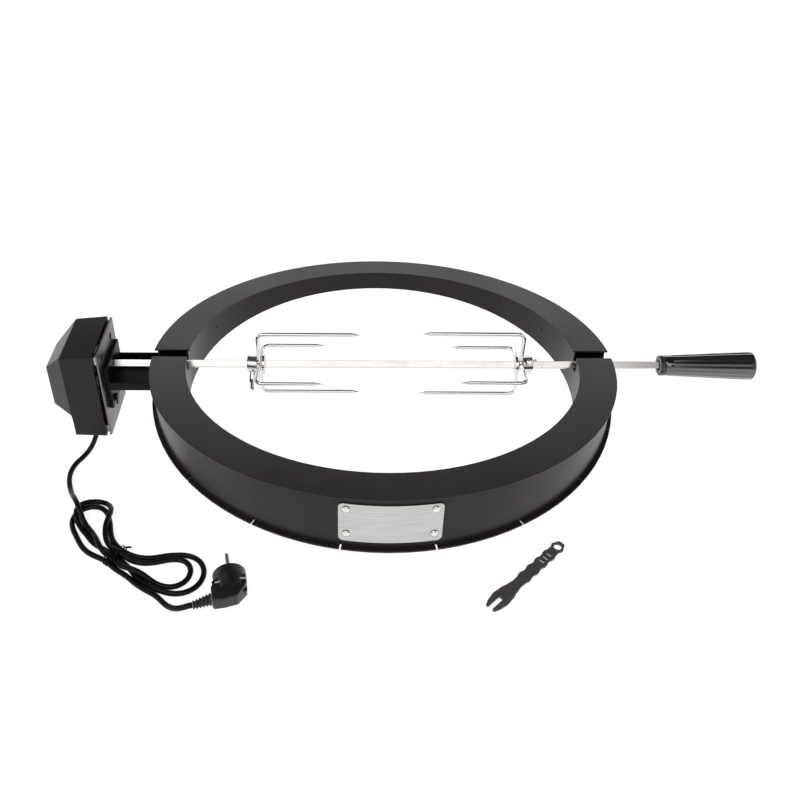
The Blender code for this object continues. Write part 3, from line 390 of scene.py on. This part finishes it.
def settle(line):
    """Lets the lead lie: it straightens as stiff rubber does, stays off itself and off the
    floor, and sinks under its weight, near the route it was laid on."""
    x = line.copy()
    home = line.copy()
    n = len(x)
    thick = CORD_DIA * KEEP_OFF
    length = np.linalg.norm(np.diff(x, axis=0), axis=1).mean()
    fixed = np.zeros(n, bool)
    fixed[:4] = True
    fixed[-3:] = True
    ties = []
    along = np.array((cos(TIE_TURN), sin(TIE_TURN), 0.0))
    for b, z in STRANDS:
        p = np.array(waist(0.0, b, z))
        k = int(np.argmin(np.linalg.norm(home - p, axis=1)))
        ties.append((k, p))
    free = (~fixed).astype(float)[:, None]
    firm = np.zeros((n, 1))
    for centre, radius, *_ in LOBES:
        off = np.linalg.norm(home[:, :2] - np.array(centre), axis=1) - radius
        firm[np.abs(off) < FIRM_REACH] = FIRM_HOLD
    i, j = np.triu_indices(n, k=int(OWN_REACH * CORD_DIA / length) + 1)
    for step in range(SETTLE_ROUNDS):
        late = step / SETTLE_ROUNDS
        curl = x[:-2] - 2 * x[1:-1] + x[2:]
        tight = np.linalg.norm(curl, axis=1) * TIGHT_BEND / length ** 2
        curl *= np.clip(tight ** 3, EASY_SHARE, 1.0)[:, None]
        bend = np.zeros_like(x)
        bend[:-2] += curl
        bend[1:-1] -= 2 * curl
        bend[2:] += curl
        x -= STIFF_SHARE * bend * free
        hold = firm + HOME_PULL * max(0.0, 1 - HOME_FADE * late)
        x[:, :2] += hold * (home[:, :2] - x[:, :2]) * free
        x[:, 2:] -= SINK * free
        ahead = x[2:] - x[:-2]
        ahead /= np.linalg.norm(ahead, axis=1)[:, None]
        even = 0.5 * (x[2:] + x[:-2]) - x[1:-1]
        slide = (even * ahead).sum(axis=1)[:, None] * ahead
        x[1:-1] += EVEN_SHARE * slide * free[1:-1]
        gap = x[j] - x[i]
        near = np.abs(gap).max(axis=1) < thick
        a, b, g = i[near], j[near], gap[near]
        dist = np.linalg.norm(g, axis=1)
        hit = dist < thick
        a, b, g, dist = a[hit], b[hit], g[hit], dist[hit]
        push = PART_SHARE * ((thick - dist) / np.maximum(dist, 1e-6))[:, None] * g
        np.add.at(x, a, -push * free[a])
        np.add.at(x, b, push * free[b])
        x[:, 2] = np.maximum(x[:, 2], FLOOR + CORD_DIA / 2 + FLOOR_CLEAR)
        x[fixed] = home[fixed]
        for k, p in ties:
            x[k] = p + along * float((x[k] - p) @ along)
    return x


def tube(name, line, radius, mat, sides=3):
    """A wire or lead of round section along a line, as a curve on the roaster."""
    curve = bpy.data.curves.new(name, 'CURVE')
    curve.dimensions = '3D'
    curve.bevel_depth = radius
    curve.bevel_resolution = sides
    curve.use_fill_caps = True
    spline = curve.splines.new('POLY')
    spline.points.add(len(line) - 1)
    for slot, p in zip(spline.points, line):
        slot.co = (*p, 1.0)
    spline.use_smooth = True
    obj = link(bpy.data.objects.new(name, curve))
    curve.materials.append(mat)
    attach(obj, "roaster")
    return obj


def make_cord(mats, ties):
    line = settle(respaced(catmull(lead_route()), ROUTE_SPACING))
    line = respaced(catmull(line, 3), LEAD_SPACING)
    obj = tube("mains_lead", line, CORD_DIA / 2, mats["cord"], LEAD_SIDES)
    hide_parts("cord_lead", "cord_hank_left", "cord_hank_right", "cord_tail")


def make_tie(mats):
    """Coated wire wound about twice round the bundle, its two ends twisted together beside it."""
    mid_b, mid_z, half_b, half_z = -0.0008, 0.00505, 0.0142, 0.0058
    flat, lowest, start = 0.62, 0.0008, radians(62)
    turns, steps = 2.25, 40
    first, pitch = -0.0042, 0.0036
    line = []
    for k in range(int(turns * steps) + 1):
        t = k / steps
        a = start + 2 * pi * t
        c, s = cos(a), sin(a)
        b = mid_b + half_b * abs(c) ** flat * (1 if c > 0 else -1)
        z = max(mid_z + half_z * abs(s) ** flat * (1 if s > 0 else -1), lowest)
        line.append(Vector(waist(first + pitch * t, b, z)))
    ends = []
    twist, twist_radius, twist_steps = 2.2, 0.0008, 24
    root, run = (0.0006, 0.0126, 0.0066), (0.0040, 0.0060, -0.0020)
    for phase in (0.0, pi):
        pig = []
        for k in range(twist_steps + 1):
            t = k / twist_steps
            swing = phase + t * 2 * pi * twist
            pig.append(Vector(waist(root[0] + twist_radius * cos(swing) + run[0] * t,
                                    root[1] + run[1] * t,
                                    root[2] + twist_radius * sin(swing) + run[2] * t)))
        ends.append(pig)
    wound = tube("tie_wire", line, TIE_WIRE, mats["cord"])
    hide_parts("cord_tie")
    names = ["tie_wire"]
    for tag, pig in zip(("a", "b"), ends):
        piece = tube("tie_end_" + tag, pig, TIE_WIRE, mats["cord"])
        names.append(piece.name)
    return names


def plug_point(a, b, c):
    """A point in the plug's frame: a along its pins, b across, c up."""
    ux, uy = cos(PLUG_TURN), sin(PLUG_TURN)
    return Vector((PLUG_FACE[0] + a * ux - b * uy, PLUG_FACE[1] + a * uy + b * ux,
                   FLOOR + PLUG_RADIUS + c))


def make_clip_hooks(mats):
    """Ends of the earth clips, folded over the plug's drum."""
    names = []
    inner, reach, droop, steps = 0.0094, 0.0072, 0.0018, 8
    back, front, under, over = -0.0196, -0.0182, 0.0114, 0.0126
    for tag, side in (("left", -1), ("right", 1)):
        bm = bmesh.new()
        loops = []
        for k in range(steps + 1):
            b = inner + reach * k / steps
            drop = droop * (k / steps) ** 3
            loops.append([plug_point(a, side * b, c - drop) for a, c in
                          ((back, under), (front, under), (front, over), (back, over))])
        add_loops(bm, loops)
        obj = mesh_from("plug_clip_hook_" + tag, bm, mats["hook"], "roaster")
        names.append(obj.name)
    return names


# ---------------------------------------------------------------- stage
def make_stage():
    bm = bmesh.new()
    bmesh.ops.create_grid(bm, x_segments=1, y_segments=1, size=8.0)
    mesh = bpy.data.meshes.new("floor")
    bm.to_mesh(mesh)
    bm.free()
    floor = link(bpy.data.objects.new("floor", mesh))
    floor.location = (0, 0, FLOOR - FLOOR_GAP)
    mat, _, bsdf = shader("floor_white", (0.45, 0.45, 0.45), 0.9)
    bsdf.inputs["Specular IOR Level"].default_value = 0.0
    bsdf.inputs["Emission Color"].default_value = (1, 1, 1, 1)
    bsdf.inputs["Emission Strength"].default_value = 0.86
    mesh.materials.append(mat)
    # studio: bright walls and a dim ceiling
    world = bpy.context.scene.world or bpy.data.worlds.new("world")
    bpy.context.scene.world = world
    world.use_nodes = True
    tree = world.node_tree
    back = tree.nodes["Background"]
    co = tree.nodes.new("ShaderNodeTexCoord")
    split = tree.nodes.new("ShaderNodeSeparateXYZ")
    tree.links.new(co.outputs["Generated"], split.inputs["Vector"])
    height = tree.nodes.new("ShaderNodeMapRange")
    height.inputs["From Min"].default_value = -1.0
    height.inputs["From Max"].default_value = 1.0
    tree.links.new(split.outputs["Z"], height.inputs["Value"])
    shades = ((0.0, 1.0), (0.55, 1.0), (0.66, 0.70), (0.72, 0.30), (0.78, 0.10), (1.0, 0.06))
    tone = ramp(tree, height.outputs["Result"], [(at, (v, v, v)) for at, v in shades])
    tree.links.new(tone, back.inputs["Color"])
    back.inputs["Strength"].default_value = 1.0
    for name, place, wide, high, power in (
            ("key", (-1.3, -0.8, 1.9), 1.0, 1.0, 12),
            ("fill", (1.6, -0.7, 1.3), 0.9, 0.9, 4),
            ("front", (-0.1, -2.1, 2.2), 2.6, 1.8, 24),
            ("back", (0.0, 3.0, 1.15), 3.0, 0.5, 10)):
        light = bpy.data.lights.new(name, 'AREA')
        light.shape = 'RECTANGLE'
        light.size, light.size_y = wide, high
        light.energy = power
        obj = link(bpy.data.objects.new(name, light))
        obj.location = place
        obj.rotation_euler = (-Vector(place)).to_track_quat('-Z', 'Y').to_euler()
    bpy.context.scene.view_settings.view_transform = 'Standard'


def main():
    make_camera()
    mats = make_materials()
    make_cord(mats, make_tie(mats) + make_clip_hooks(mats))
    keep(["ring_outer_wall", "ring_top_plate_front", "ring_top_plate_back",
          "ring_inner_wall"], mats["coat"], 0.0004, 30)
    # the bottom plate inside the ring gets the darkened coat, painted shade
    keep(["ring_bottom_plate"], mats["inside"], 0.0)
    keep(["name_plate"], mats["badge"], 0.0003)
    keep([n for n in NODES if n.startswith("name_plate_rivet")], mats["hub"], 0.0)
    keep(["motor_bracket"], mats["black"], 0.0004)
    keep(["bracket_bolt_front", "bracket_bolt_back"], mats["black"], 0.0003)
    keep(["motor_plate"], mats["plate"], 0.0003)
    keep(["gearbox_frame"], mats["black"], 0.0003)
    keep([n for n in NODES if n.startswith(("plate_spacer", "gearbox_pillar"))],
         mats["zinc"], 0.0002)
    keep(["gearbox_case", "motor_can", "drive_socket"], mats["zinc"], 0.0003)
    keep(["motor_housing"], mats["plastic"], 0.0016, 12, 3)
    keep(["cord_gland"], mats["plug"], 0.0)
    keep(["spit_rod"], mats["rod"], 0.0003)
    keep(["handle_collar"], mats["dark"], 0.0002)
    keep(["handle_grip"], mats["gloss"], 0.0)
    for side in ("left", "right"):
        keep([side + "_fork_hub", side + "_thumb_screw"], mats["hub"], 0.0002)
        keep([side + "_fork_wire_front", side + "_fork_wire_rear"], mats["fork"], 0.0)
    keep(["plug_strain_relief"], mats["plug"], 0.0002)
    keep(["plug_body"], mats["plug"], 0.0005, 35)
    keep([n for n in NODES if n.startswith(("plug_pin", "plug_earth"))], mats["zinc"], 0.0002)
    keep(["fork_wrench"], mats["tool"], 0.0005)
    make_stage()


main()
